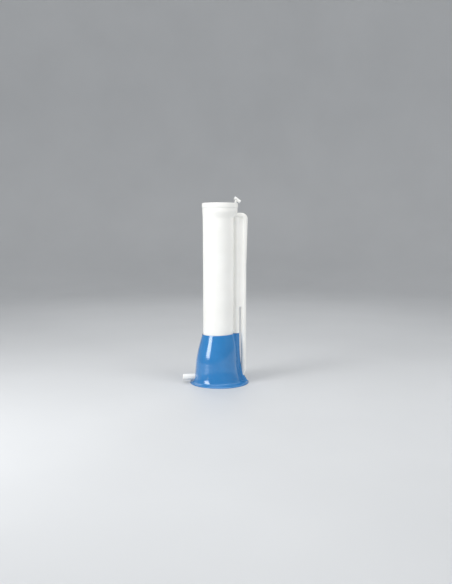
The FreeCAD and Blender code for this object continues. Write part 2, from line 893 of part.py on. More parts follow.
def build_clips(rod):
    """P-clips that hold the rod against the sleeve."""
    clips = []
    for number in range(int(size("clip_count"))):
        height = "clip_start + %d * clip_pitch" % number
        ring = cylinder("clip_ring_%d" % number, "clip_radius", "clip_height", x="rod_offset", z=height)
        foot = block(
            "clip_foot_%d" % number,
            "sleeve_radius - rod_offset",
            "clip_foot_width",
            "clip_height",
            "rod_offset",
            "-clip_foot_width / 2",
            height,
        )
        inside = cylinder("clip_space_%d" % number, "sleeve_radius - sleeve_wall", "clip_height", z=height)
        blank = common("clip_blank_%d" % number, fuse("clip_solid_%d" % number, ring, foot), inside)
        clips.append(cut("clip_%d" % number, blank, rod))
    sub_part(group("rod_clips_group", clips), "rod_clips")


def build_port_bush():
    """Short bush that joins the vessel's drain port to the riser's foot."""
    outer = along_x("bush_outer", "port_radius", "chamber_radius - wall", "port_end", "port_height")
    inner = along_x("bush_inner", "port_bore", "chamber_radius - wall", "port_end", "port_height")
    sub_part(cut("bush_bored", outer, inner), "siphon_port_bush")


def build_all():
    """Every sub-part, from the vessel outwards and then the pieces that lift out."""
    vessel_outer = fuse(
        "vessel_outer",
        cylinder("chamber_outer", "chamber_radius", "chamber_top"),
        stack(
            "upper_outer",
            [
                ("0", "chamber_radius", "chamber_top"),
                ("taper_shift", "taper_radius", "taper_top"),
                ("neck_shift", "neck_radius", "neck_bottom"),
            ],
        ),
        cylinder("neck_outer", "neck_radius", "vessel_top - neck_bottom", x="neck_shift", z="neck_bottom"),
    )
    foot_outer = fuse("foot_outer", foot_solid("foot_form"), foot_form("brim", "foot_brim", ruled=True))
    siphon_port = along_x(
        "siphon_port",
        "port_radius",
        "chamber_radius - port_cut_inside",
        "chamber_radius + port_cut_outside",
        "port_height",
    )
    build_vessel(vessel_outer, siphon_port)
    build_rim_collar()
    build_siphon(vessel_outer, foot_outer)
    build_port_bush()
    build_foot(foot_outer, vessel_outer)
    build_inlet()
    build_support_plate()
    build_basket()


def check_all():
    """Stop on any object that failed, and on any sub-part that isn't whole."""
    doc.recompute()
    for item in doc.Objects:
        if "Invalid" in item.State or "Error" in item.State:
            raise RuntimeError("%s failed: %s" % (item.Name, item.State))
    for item in SUB_PARTS:
        shape = item.Shape
        if shape.isNull() or not shape.isValid() or not shape.Solids:
            raise RuntimeError("%s has no valid shape" % item.Label)


def write_all():
    """One STEP file for each sub-part."""
    os.makedirs("parts", exist_ok=True)
    for item in SUB_PARTS:
        item.Shape.exportStep("parts/%s.step" % item.Label)
        box = item.Shape.BoundBox
        print(
            "%-18s solids %2d  volume %9.1f  x %7.2f %7.2f  y %7.2f %7.2f  z %7.2f %7.2f"
            % (
                item.Label,
                len(item.Shape.Solids),
                item.Shape.Volume,
                box.XMin,
                box.XMax,
                box.YMin,
                box.YMax,
                box.ZMin,
                box.ZMax,
            )
        )


build_all()
check_all()
write_all()
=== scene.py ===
import math

import bmesh
import bpy
from mathutils import Matrix, Vector


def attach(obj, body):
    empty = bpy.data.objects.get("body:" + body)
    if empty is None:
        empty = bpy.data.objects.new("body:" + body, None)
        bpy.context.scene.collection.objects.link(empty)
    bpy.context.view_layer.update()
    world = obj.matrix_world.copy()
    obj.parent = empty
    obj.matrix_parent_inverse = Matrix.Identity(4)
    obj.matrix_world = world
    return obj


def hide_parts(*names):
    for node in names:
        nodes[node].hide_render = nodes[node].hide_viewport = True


# Automatic siphon rinser for laboratory pipettes, in metres, in the CAD model's own frame.
# Shapes below are written in millimetres and scaled when their mesh is made.

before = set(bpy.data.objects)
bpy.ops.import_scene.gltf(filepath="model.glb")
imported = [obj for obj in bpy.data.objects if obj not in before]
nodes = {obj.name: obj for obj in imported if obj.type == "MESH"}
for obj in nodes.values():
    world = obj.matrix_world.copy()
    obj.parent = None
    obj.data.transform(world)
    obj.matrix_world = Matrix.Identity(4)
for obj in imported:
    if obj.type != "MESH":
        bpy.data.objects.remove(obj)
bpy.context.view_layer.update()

MM = 0.001

# The view: from the front, about four-fifths of the way up, tipped a little down.
# Lens and sensor in millimetres, places in metres, the tip in degrees.
LENS = 37.4795
SENSOR = 36.0
EYE_HEIGHT = 0.590
EYE_DISTANCE = 2.434
EYE_SIDE = 0.031
PITCH_DOWN = 5.24

# How finely round shapes are drawn.
BAR_SEGMENTS = 64
ELBOW_SEGMENTS, ELBOW_STEPS = 48, 20
ROD_SEGMENTS, ROD_BEND_STEPS = 48, 12
BELL_STEPS, CREASE_STEPS, LOBE_STEPS = 150, 7, 44
CORNER_SHARE = 0.48  # the most of a side that the round at one of its ends may take
AXIS_GAP = 1e-4  # millimetres, so that a ring on the axis still has a size
MERGE_DISTANCE = 1e-6  # metres

# White vessel: sizes here and below are in millimetres and degrees.
WALL = 3.0
FLOOR = 4.0
CHAMBER_RADIUS = 61.0
CHAMBER_TOP = 470.0
TAPER_RADIUS, TAPER_SHIFT, TAPER_TOP = 61.2, -0.2, 658.0
NECK_RADIUS, NECK_SHIFT, NECK_BOTTOM = 69.7, 7.0, 690.0
VESSEL_TOP = 716.0
BOTTOM_ROUND, INNER_BOTTOM_ROUND = 3.0, 9.0
FIRST_RING_Z, LAST_RING_GAP = 40.0, 3.0
RING_SPACING, CLOSE_SPACING = 12.0, 2.5
CLOSE_BOTTOM, CLOSE_TOP = 650.0, 700.0

# Rim: it laps into the neck's wall, steps out under the band, and is rounded on top.
RIM_TOP = 720.0
RIM_RADIUS = 71.65
RIM_LAP, RIM_SET_BACK = 0.3, 0.9
RIM_BOTTOM, RIM_STEP_Z, RIM_UNDERSIDE, RIM_BAND_BOTTOM = 698.5, 699.2, 702.0, 703.2

# Siphon. The laps are how far its parts run into one another before they are blended.
RISER_X, RISER_RADIUS = 72.3, 12.5
RISER_FOOT_RADIUS, RISER_FOOT_BOTTOM = 9.8, 14.0
RISER_SEAT = 201.0
SHOULDER_START, SHOULDER_Z = 48.0, 670.5
BEND_RADIUS = 12.6
DOWN_TOP_X, DOWN_X, DOWN_RADIUS = 104.9, 101.65, 10.75
DOWN_BOTTOM = 10.0  # inside the foot
WEB_THICKNESS = 18.0
RISER_WEB_START, RISER_WEB_THICKNESS = 52.0, 19.0
PIPE_LAP, DOWN_LAP, RISER_FOOT_LAP = 2.0, 3.0, 4.0
VOXEL, SMOOTHING, SMOOTHING_PASSES = 1.1, 0.5, 12
MID_WALL_BOTTOM = 1.0
SLOT_TOP, SLOT_WIDTH, SLOT_CUT_REACH = 306.0, 6.1, 30.0
MOUTH_X, MOUTH_Z, MOUTH_SLOPE = 113.4, 53.1, 25.6
MOUTH_CUTTER_LOW, MOUTH_CUTTER_HIGH = (0, -40, -110), (80, 40, 60)
BORE_RADIUS, BORE_BOTTOM, BORE_TOP = 8.0, -5.0, 380.0
PORT_Z, PORT_RADIUS, PORT_LEDGE = 32.0, 7.0, 1.5
PORT_START, PORT_HOLE_START, PORT_HOLE_END = 60.0, 50.0, 70.0

# Inlet: its angle and height, then radii and distances along its axis from the vessel's middle.
INLET_ANGLE, INLET_Z = 186.0, 23.5
BOSS_RADIUS, BOSS_START, BOSS_END = 14.6, 54.0, 62.0
SHANK_RADIUS, SHANK_BORE, SHANK_END = 7.0, 5.0, 47.0
SHANK_HOLE_START, SHANK_HOLE_END = 45.0, 75.0
COLLAR_RADIUS, COLLAR_START, COLLAR_END = 14.2, 66.0, 71.0
STEM_RADIUS, STEM_END = 12.4, 100.0
TAIL_RADIUS, TAIL_START = 12.0, 100.4
TIP_RADIUS, TIP_START, TIP_END = 11.2, 141.6, 144.0
TAIL_BORE, TAIL_BORE_START, SHANK_BORE_END = 8.0, 83.0, 80.0
FOOT_HOLE_RADIUS, FOOT_HOLE_START, FOOT_HOLE_END = 12.9, 80.0, 160.0

# Lifting rod, its hook, and the hoop round the top of the basket's sleeve.
ROD_X, ROD_RADIUS, ROD_BOTTOM, ROD_CHAMFER = 42.0, 4.5, 47.0, 0.8
ROD_RING_HEIGHTS = (200.0, 400.0, 600.0)
ROD_BEND_Z, ROD_BEND_REACH = 636.0, 22.0
ROD_LEAN, ROD_LEAN_LENGTH = 17.0, 104.7
ROD_TOP_RING, ROD_TOP_GAP = 20.0, 1.5
HOOK_LENGTH, HOOK_RADIUS, HOOK_TILT, HOOK_SHARE = 28.6, 6.2, 35.8, 0.36
HOOK_LIP_RADIUS, HOOK_DISH_RADIUS, HOOK_DISH_DEPTH = 4.3, 3.6, 1.3
PIN_HOLE_RADIUS, PIN_HOLE_REACH = 1.5, 20.0
SLEEVE_RADIUS, SLEEVE_TOP = 53.0, 610.0
HOOP_RADIUS, HOOP_INNER_RADIUS, HOOP_BOTTOM, HOOP_TOP = 55.0, 51.0, 597.0, 613.0

# Blue foot: height, bell centre, bell radius, lobe centre, lobe radius, and the crease's round.
FOOT_LEVELS = [
    (0.0, 4.0, 119.45, 104.0, 19.4, 6.0),
    (3.0, 3.6, 118.6, 103.6, 18.7, 6.5),
    (4.9, 3.2, 113.5, 103.4, 17.6, 7.6),
    (5.6, 1.6, 109.3, 102.9, 17.1, 8.2),
    (6.4, -0.8, 104.6, 102.2, 16.9, 8.5),
    (9.5, -2.4, 98.2, 99.4, 16.9, 7.5),
    (16.0, -3.8, 94.4, 96.0, 16.9, 6.0),
    (30.0, -5.0, 91.0, 89.0, 15.6, 4.0),
    (48.0, -5.9, 87.8, 83.4, 14.6, 3.0),
    (75.0, -6.4, 85.3, 77.5, 13.4, 2.5),
    (96.0, -5.5, 83.8, 75.8, 13.1, 2.2),
    (116.0, -4.1, 81.6, 74.5, 12.9, 2.0),
    (140.0, -2.4, 78.2, 73.6, 12.8, 2.0),
    (163.0, -1.0, 73.6, 72.9, 12.75, 2.0),
    (188.0, 0.0, 68.0, 72.4, 12.72, 2.0),
    (198.6, 0.0, 65.5, 72.3, 12.7, 2.0),
]
FOOT_TILT, FOOT_TILT_BOTTOM, FOOT_TILT_SPAN, FOOT_TILT_CENTRE = 0.032, 60.0, 130.0, 5.0
SKIRT_WALL = 2.2

# Room: a floor that curves up into a wall.
ROOM_RADIUS, ROOM_HEIGHT, ROOM_ROUND = 6200.0, 5200.0, 3000.0


# ---------------------------------------------------------------- materials


def new_material(name):
    """An empty node material with a Principled shader, returned with its tree and shader."""
    material = bpy.data.materials.new(name)
    material.use_nodes = True
    tree = material.node_tree
    return material, tree, tree.nodes["Principled BSDF"]


def link(tree, source, output, target, socket):
    """Join one node's output to another's input."""
    tree.links.new(source.outputs[output], target.inputs[socket])


def object_position(tree, scale=(1, 1, 1)):
    """The point on the object in metres, stretched by a scale on each axis."""
    coordinates = tree.nodes.new("ShaderNodeTexCoord")
    mapping = tree.nodes.new("ShaderNodeMapping")
    mapping.inputs["Scale"].default_value = scale
    link(tree, coordinates, "Object", mapping, "Vector")
    return mapping


def noise(tree, position, scale, detail=3.0, roughness=0.5):
    """Noise over the object, with its scale in cells per metre."""
    texture = tree.nodes.new("ShaderNodeTexNoise")
    texture.inputs["Scale"].default_value = scale
    texture.inputs["Detail"].default_value = detail
    texture.inputs["Roughness"].default_value = roughness
    link(tree, position, "Vector", texture, "Vector")
    return texture


def ramp(tree, source, stops):
    """A colour ramp over noise, each stop a place and a grey or a colour."""
    node = tree.nodes.new("ShaderNodeValToRGB")
    elements = node.color_ramp.elements
    while len(elements) < len(stops):
        elements.new(0.5)
    for element, (place, colour) in zip(elements, stops):
        element.position = place
        grey = isinstance(colour, (int, float))
        element.color = (colour, colour, colour, 1.0) if grey else (*colour, 1.0)
    link(tree, source, "Fac", node, "Fac")
    return node


def add_bump(tree, shader, source, strength, distance, below=None):
    """Fine relief from noise, on top of any other relief."""
    bump = tree.nodes.new("ShaderNodeBump")
    bump.inputs["Strength"].default_value = strength
    bump.inputs["Distance"].default_value = distance
    link(tree, source, "Fac", bump, "Height")
    if below is not None:
        link(tree, below, "Normal", bump, "Normal")
    link(tree, bump, "Normal", shader, "Normal")
    return bump


def moulded_plastic(name, dark, light, roughness, subsurface, grain, gloss=0.0):
    """Moulded plastic: faint colour drift, flow streaks, pebbled skin and uneven shine."""
    material, tree, shader = new_material(name)
    position = object_position(tree)
    drift = noise(tree, position, scale=14.0, detail=4.0)
    colour = ramp(tree, drift, [(0.3, dark), (0.7, light)])
    link(tree, colour, "Color", shader, "Base Color")
    shine = noise(tree, position, scale=55.0, detail=5.0)
    gloss_range = ramp(tree, shine, [(0.3, roughness * 0.85), (0.72, roughness * 1.2)])
    link(tree, gloss_range, "Color", shader, "Roughness")
    skin = noise(tree, position, scale=900.0, detail=2.0)
    pebbles = add_bump(tree, shader, skin, strength=grain, distance=0.00025)
    waves = noise(tree, object_position(tree, (1, 1, 0.25)), scale=38.0, detail=1.0)
    add_bump(tree, shader, waves, strength=0.12, distance=0.0012, below=pebbles)
    shader.inputs["IOR"].default_value = 1.5
    if subsurface:
        shader.inputs["Subsurface Weight"].default_value = subsurface
        shader.inputs["Subsurface Radius"].default_value = (1.0, 0.9, 0.8)
        shader.inputs["Subsurface Scale"].default_value = 0.004
    if gloss:
        shader.inputs["Coat Weight"].default_value = gloss
        shader.inputs["Coat Roughness"].default_value = 0.06
    return material


def brushed_steel():
    """Steel pin with fine lengthwise scratches."""
    material, tree, shader = new_material("pin_steel")
    shader.inputs["Metallic"].default_value = 1.0
    shader.inputs["Base Color"].default_value = (0.62, 0.62, 0.61, 1)
    scratches = noise(tree, object_position(tree, (40, 1, 40)), scale=60.0, detail=6.0)
    shine = ramp(tree, scratches, [(0.3, 0.22), (0.7, 0.4)])
    link(tree, shine, "Color", shader, "Roughness")
    add_bump(tree, shader, scratches, strength=0.2, distance=0.0001)
    return material


WHITE = moulded_plastic(
    "polyethylene_white",
    dark=(0.85, 0.845, 0.81),
    light=(0.89, 0.885, 0.855),
    roughness=0.42,
    subsurface=0.12,
    grain=0.25,
)
BLUE = moulded_plastic(
    "polypropylene_blue",
    dark=(0.016, 0.180, 0.455),
    light=(0.024, 0.205, 0.50),
    roughness=0.13,
    subsurface=0.0,
    grain=0.05,
    gloss=0.9,
)
NATURAL = moulded_plastic(
    "polypropylene_natural",
    dark=(0.74, 0.76, 0.74),
    light=(0.82, 0.83, 0.81),
    roughness=0.38,
    subsurface=0.2,
    grain=0.3,
)
NYLON = moulded_plastic(
    "nylon_white",
    dark=(0.82, 0.82, 0.79),
    light=(0.88, 0.88, 0.86),
    roughness=0.33,
    subsurface=0.1,
    grain=0.2,
)
RUBBER = moulded_plastic(
    "seal_rubber",
    dark=(0.02, 0.02, 0.02),
    light=(0.035, 0.035, 0.034),
    roughness=0.7,
    subsurface=0.0,
    grain=0.6,
)
STEEL = brushed_steel()

NODE_MATERIALS = {
    "rinser_vessel": WHITE,
    "rim_collar": WHITE,
    "siphon_tube": WHITE,
    "siphon_port_bush": NYLON,
    "foot_skirt": BLUE,
    "inlet_spigot": NYLON,
    "inlet_seal": RUBBER,
    "inlet_locknut": NYLON,
    "support_plate": NATURAL,
    "plate_feet": NATURAL,
    "basket_base": NATURAL,
    "basket_sleeve": NATURAL,
    "basket_hoop": NATURAL,
    "base_rivets": NYLON,
    "hoop_rivets": NYLON,
    "lifting_rod": NYLON,
    "rod_clips": NYLON,
    "rod_nut": NYLON,
    "rod_stop_collar": NYLON,
    "hook_grip": NYLON,
    "hook_pin": STEEL,
}
for name, material in NODE_MATERIALS.items():
    for slot in nodes[name].material_slots:
        slot.material = material


# ---------------------------------------------------------------- mesh tools


def rounded(corners, steps=5):
    """A smooth outline from corners of radius, height and how much each corner is rounded."""
    points = []
    count = len(corners)
    for number, (across, along, round_by) in enumerate(corners):
        here = Vector((across, along))
        if not round_by:
            points.append(here)
            continue
        before = Vector(corners[number - 1][:2]) - here
        after = Vector(corners[(number + 1) % count][:2]) - here
        reach = min(round_by, before.length * CORNER_SHARE, after.length * CORNER_SHARE)
        start = here + before.normalized() * reach
        end = here + after.normalized() * reach
        for step in range(steps + 1):
            share = step / steps
            points.append(start.lerp(here, share).lerp(here.lerp(end, share), share))
    return points


def mesh_object(name, vertices, faces):
    """A smooth-shaded object in the scene from points in millimetres."""
    mesh = bpy.data.meshes.new(name)
    mesh.from_pydata([[value * MM for value in vertex] for vertex in vertices], [], faces)
    shell = bmesh.new()
    shell.from_mesh(mesh)
    bmesh.ops.remove_doubles(shell, verts=shell.verts, dist=MERGE_DISTANCE)
    bmesh.ops.recalc_face_normals(shell, faces=shell.faces)
    shell.to_mesh(mesh)
    shell.free()
    item = bpy.data.objects.new(name, mesh)
    bpy.context.collection.objects.link(item)
    return item


def ring_mesh(name, rings, closed=False):
    """A skin over rings that all have the same number of points, in order along the surface."""
    vertices = [point for ring in rings for point in ring]
    around = len(rings[0])
    faces = []
    for number in range(len(rings) if closed else len(rings) - 1):
        low = number * around
        high = (number + 1) % len(rings) * around
        for step in range(around):
            following = (step + 1) % around
            faces.append((low + step, low + following, high + following, high + step))
    return mesh_object(name, vertices, faces)


def circle(radius, height, centre=0.0, segments=192):
    """A level ring of points, a hair off the axis where its radius is nothing."""
    radius = max(radius, AXIS_GAP)
    turns = [2 * math.pi * number / segments for number in range(segments)]
    return [(centre + radius * math.cos(turn), radius * math.sin(turn), height) for turn in turns]


def lathe(name, corners, closed=True, segments=96, centre=0.0, place=None):
    """A turned shape from rounded corners of radius and height; place lays it in the model."""
    outline = rounded(corners)
    rings = [circle(point.x, point.y, centre, segments) for point in outline]
    item = ring_mesh(name, rings, closed)
    if place is not None:
        item.data.transform(place)
    return item


def laid(x, y, z, turn, axis):
    """A placement in millimetres with a turn in degrees about one axis."""
    return Matrix.Translation(Vector((x, y, z)) * MM) @ Matrix.Rotation(math.radians(turn), 4, axis)


def bar(name, radius, start, end, end_radius=None):
    """A plain round bar between two points, thicker at one end if asked."""
    start, end = Vector(start), Vector(end)
    length = (end - start).length
    far = radius if end_radius is None else end_radius
    profile = [(0, 0), (radius, 0), (far, length), (0, length)]
    item = ring_mesh(name, [circle(across, along, 0, BAR_SEGMENTS) for across, along in profile])
    aim = (end - start).to_track_quat("Z", "Y").to_matrix().to_4x4()
    item.data.transform(Matrix.Translation(start * MM) @ aim)
    return item


def elbow(name, bend, radius, centre_x, centre_z, start, end):
    """A bend in the XZ plane between two angles in degrees, its ends closed."""
    rings = []
    for step in range(ELBOW_STEPS + 1):
        turn = math.radians(start + (end - start) * step / ELBOW_STEPS)
        outward = Vector((math.cos(turn), 0, math.sin(turn)))
        middle = Vector((centre_x, 0, centre_z)) + outward * bend
        ring = []
        for number in range(ELBOW_SEGMENTS):
            spin = 2 * math.pi * number / ELBOW_SEGMENTS
            across = Vector((0, radius * math.sin(spin), 0))
            ring.append(middle + outward * radius * math.cos(spin) + across)
        if step == 0:
            rings.append([middle] * ELBOW_SEGMENTS)
        rings.append(ring)
        if step == ELBOW_STEPS:
            rings.append([middle] * ELBOW_SEGMENTS)
    return ring_mesh(name, rings)


def slab(name, low, high):
    """A closed box for cutting and joining."""
    (x0, y0, z0), (x1, y1, z1) = low, high
    vertices = [(x, y, z) for x in (x0, x1) for y in (y0, y1) for z in (z0, z1)]
    faces = [(0, 1, 3, 2), (4, 6, 7, 5), (0, 4, 5, 1), (2, 3, 7, 6), (0, 2, 6, 4), (1, 5, 7, 3)]
    return mesh_object(name, vertices, faces)


def bake(item, modifier_type, **settings):
    """Run one modifier on an object and keep the result as its mesh."""
    modifier = item.modifiers.new(modifier_type.lower(), modifier_type)
    for setting, value in settings.items():
        setattr(modifier, setting, value)
    shown = item.evaluated_get(bpy.context.evaluated_depsgraph_get())
    result = bpy.data.meshes.new_from_object(shown)
    item.modifiers.clear()
    item.data = result
    return item


def join(item, *others):
    """Put other meshes into an object as they are, overlapping."""
    merged = bmesh.new()
    for source in (item, *others):
        merged.from_mesh(source.data)
    merged.to_mesh(item.data)
    merged.free()
    for other in others:
        bpy.data.objects.remove(other)
    return item


def combine(item, operation, *tools):
    """Join other closed shapes to an object, or cut them out of it, and throw them away."""
    for tool in tools:
        bake(item, "BOOLEAN", operation=operation, solver="EXACT", object=tool)
        bpy.data.objects.remove(tool)
    return item


def finish_piece(item, material, body, replaced, sharp_angle=40):
    """Give a piece its material, its body and the CAD node that it stands for."""
    item.data.materials.clear()
    item.data.materials.append(material)
    item.data.shade_smooth()
    item.data.set_sharp_from_angle(angle=math.radians(sharp_angle))
    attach(item, body)
    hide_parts(replaced)
    return item


# ---------------------------------------------------------------- white vessel and rim


def vessel_at(height):
    """Centre and radius of the vessel's outside at a height."""
    if height <= CHAMBER_TOP:
        return 0.0, CHAMBER_RADIUS
    if height <= TAPER_TOP:
        share = (height - CHAMBER_TOP) / (TAPER_TOP - CHAMBER_TOP)
        return TAPER_SHIFT * share, CHAMBER_RADIUS + (TAPER_RADIUS - CHAMBER_RADIUS) * share
    share = min(1.0, (height - TAPER_TOP) / (NECK_BOTTOM - TAPER_TOP))
    share = share * share * (3 - 2 * share)
    centre = TAPER_SHIFT + (NECK_SHIFT - TAPER_SHIFT) * share
    return centre, TAPER_RADIUS + (NECK_RADIUS - TAPER_RADIUS) * share


def vessel_heights(bottom, top):
    """Heights for the vessel's rings, close together where its wall curves."""
    heights = [bottom]
    while heights[-1] < top - LAST_RING_GAP:
        step = CLOSE_SPACING if CLOSE_BOTTOM < heights[-1] < CLOSE_TOP else RING_SPACING
        heights.append(min(heights[-1] + step, top))
    heights[-1] = top
    return heights


def vessel_rings(inset, bottom, top, corner):
    """Rings from the middle of a rounded bottom up one face of the wall."""
    radius = CHAMBER_RADIUS - inset
    outline = rounded([(0.0, bottom, 0), (radius, bottom, corner), (radius, FIRST_RING_Z, 0)])
    rings = [circle(point.x, point.y) for point in outline[:-1]]
    for height in vessel_heights(FIRST_RING_Z, top):
        centre, radius = vessel_at(height)
        rings.append(circle(radius - inset, height, centre))
    return rings


def inlet_place():
    """The inlet's level axis, from the vessel's axis outwards."""
    return laid(0, 0, INLET_Z, INLET_ANGLE, "Z") @ Matrix.Rotation(math.pi / 2, 4, "Y")


def on_inlet_axis(name, radius, start, end):
    """A round bar on the inlet's axis."""
    item = bar(name, radius, (0, 0, start), (0, 0, end))
    item.data.transform(inlet_place())
    return item


outside = vessel_rings(0.0, 0.0, VESSEL_TOP, BOTTOM_ROUND)
inside = vessel_rings(WALL, FLOOR, VESSEL_TOP, INNER_BOTTOM_ROUND)
vessel = ring_mesh("vessel_moulding", outside + inside[::-1])
combine(vessel, "UNION", on_inlet_axis("boss", BOSS_RADIUS, BOSS_START, BOSS_END))
combine(
    vessel,
    "DIFFERENCE",
    on_inlet_axis("inlet_hole", SHANK_RADIUS, SHANK_HOLE_START, SHANK_HOLE_END),
    bar("port_hole", PORT_RADIUS, (PORT_HOLE_START, 0, PORT_Z), (PORT_HOLE_END, 0, PORT_Z)),
)
finish_piece(vessel, WHITE, "rinser", "rinser_vessel")

rim = lathe(
    "rim_moulding",
    [
        (NECK_RADIUS - RIM_LAP, RIM_BOTTOM, 0),
        (NECK_RADIUS + RIM_LAP, RIM_STEP_Z, 0.8),
        (RIM_RADIUS - RIM_SET_BACK, RIM_UNDERSIDE, 2.0),
        (RIM_RADIUS, RIM_BAND_BOTTOM, 1.2),
        (RIM_RADIUS, RIM_TOP, 3.0),
        (NECK_RADIUS - WALL, RIM_TOP, 1.8),
        (NECK_RADIUS - WALL, VESSEL_TOP, 0),
        (NECK_RADIUS - RIM_LAP, VESSEL_TOP, 0),
    ],
    segments=256,
    centre=NECK_SHIFT,
)
finish_piece(rim, WHITE, "rinser", "rim_collar")


# ---------------------------------------------------------------- siphon


def upright(name, radius, x, low, high):
    """A plain upright bar in the siphon's plane."""
    return bar(name, radius, (x, 0, low), (x, 0, high))


def siphon_moulding():
    """Riser, shoulder, bend, downpipe and web in one, with a round to every join."""
    bend_x, bend_z = DOWN_TOP_X - BEND_RADIUS, SHOULDER_Z - BEND_RADIUS
    web, riser_web = WEB_THICKNESS / 2, RISER_WEB_THICKNESS / 2
    bend_start, shoulder_end = (DOWN_TOP_X, 0, bend_z + PIPE_LAP), (bend_x + PIPE_LAP, 0, SHOULDER_Z)
    item = upright("siphon_moulding", RISER_RADIUS, RISER_X, RISER_SEAT, SHOULDER_Z)
    join(
        item,
        slab("web", (RISER_X, -web, SLOT_TOP), (DOWN_X, web, SHOULDER_Z - PIPE_LAP)),
        slab("riser_web", (RISER_WEB_START, -riser_web, RISER_SEAT), (RISER_X, riser_web, SHOULDER_Z)),
        upright("downpipe", DOWN_RADIUS, DOWN_X, DOWN_BOTTOM, CHAMBER_TOP + DOWN_LAP),
        bar("downpipe_top", DOWN_RADIUS, (DOWN_X, 0, CHAMBER_TOP), bend_start, RISER_RADIUS),
        bar("shoulder", RISER_RADIUS, (SHOULDER_START, 0, SHOULDER_Z), shoulder_end),
        elbow("outer_bend", BEND_RADIUS, RISER_RADIUS, bend_x, bend_z, 0, 90),
        upright("riser_foot", RISER_FOOT_RADIUS, RISER_X, RISER_FOOT_BOTTOM, RISER_SEAT + RISER_FOOT_LAP),
    )
    bake(item, "REMESH", mode="VOXEL", voxel_size=VOXEL * MM)
    bake(item, "SMOOTH", factor=SMOOTHING, iterations=SMOOTHING_PASSES)
    wall_rings = vessel_rings(WALL / 2, MID_WALL_BOTTOM, VESSEL_TOP, BOTTOM_ROUND)
    mid_wall = ring_mesh("mid_wall", wall_rings + [circle(0, VESSEL_TOP)])
    mouth = slab("mouth", MOUTH_CUTTER_LOW, MOUTH_CUTTER_HIGH)
    mouth.data.transform(laid(MOUTH_X, 0, MOUTH_Z, MOUTH_SLOPE, "Y"))
    slot_x = (RISER_X + RISER_RADIUS + DOWN_X - DOWN_RADIUS) / 2
    slot_near, slot_far = (slot_x, -SLOT_CUT_REACH, SLOT_TOP), (slot_x, SLOT_CUT_REACH, SLOT_TOP)
    slot_end = bar("slot_end", SLOT_WIDTH / 2, slot_near, slot_far)
    bore = upright("bore", BORE_RADIUS, DOWN_X, BORE_BOTTOM, BORE_TOP)
    port = bar("port", PORT_RADIUS - PORT_LEDGE, (PORT_START, 0, PORT_Z), (RISER_X, 0, PORT_Z))
    return combine(item, "DIFFERENCE", mid_wall, mouth, slot_end, bore, port)


finish_piece(siphon_moulding(), WHITE, "rinser", "siphon_tube", sharp_angle=70)


# ---------------------------------------------------------------- blue foot


def foot_level(height):
    """The foot's outline at a height, curved smoothly between the levels that are given."""
    rows = FOOT_LEVELS
    upper = 1
    while upper < len(rows) - 1 and rows[upper][0] < height:
        upper += 1
    low, high = rows[upper - 1], rows[upper]
    before = rows[upper - 2] if upper > 1 else low
    after = rows[upper + 1] if upper + 1 < len(rows) else high
    span = high[0] - low[0]
    share = min(1.0, max(0.0, (height - low[0]) / span))
    values = []
    for column in range(1, 6):
        start_slope = (high[column] - before[column]) / (high[0] - before[0]) * span
        end_slope = (after[column] - low[column]) / (after[0] - low[0]) * span
        values.append(
            (2 * share**3 - 3 * share**2 + 1) * low[column]
            + (share**3 - 2 * share**2 + share) * start_slope
            + (3 * share**2 - 2 * share**3) * high[column]
            + (share**3 - share**2) * end_slope
        )
    return values


def foot_ring(height, inset, drawn_height=None, lobe_share=1.0):
    """One ring of the foot: the bell's arc, a hollow crease, the lobe's arc and the other crease."""
    centre, bell, lobe_x, lobe, crease = foot_level(height)
    bell -= inset
    lobe -= inset * lobe_share
    crease += inset * lobe_share
    gap = lobe_x - centre
    across = ((bell + crease) ** 2 - (lobe + crease) ** 2 + gap**2) / (2 * gap)
    aside = math.sqrt(max(0.01, (bell + crease) ** 2 - across**2))
    bell_turn = math.atan2(aside, across)
    lobe_turn = math.atan2(aside, across - gap)
    half = []
    for step in range(BELL_STEPS + 1):
        turn = math.pi + (bell_turn - math.pi) * step / BELL_STEPS
        half.append((centre + bell * math.cos(turn), bell * math.sin(turn)))
    hollow = Vector((centre + across, aside))
    for step in range(1, CREASE_STEPS):
        turn = bell_turn + math.pi + (lobe_turn - bell_turn) * step / CREASE_STEPS
        half.append((hollow.x + crease * math.cos(turn), hollow.y + crease * math.sin(turn)))
    for step in range(LOBE_STEPS + 1):
        turn = lobe_turn * (1 - step / LOBE_STEPS)
        half.append((lobe_x + lobe * math.cos(turn), lobe * math.sin(turn)))
    outline = half + [(x, -y) for x, y in half[-2:0:-1]]
    height = height if drawn_height is None else drawn_height
    lift = FOOT_TILT * max(0.0, min(1.0, (height - FOOT_TILT_BOTTOM) / FOOT_TILT_SPAN)) ** 2
    return [(x, y, height + lift * (x - FOOT_TILT_CENTRE)) for x, y in outline]


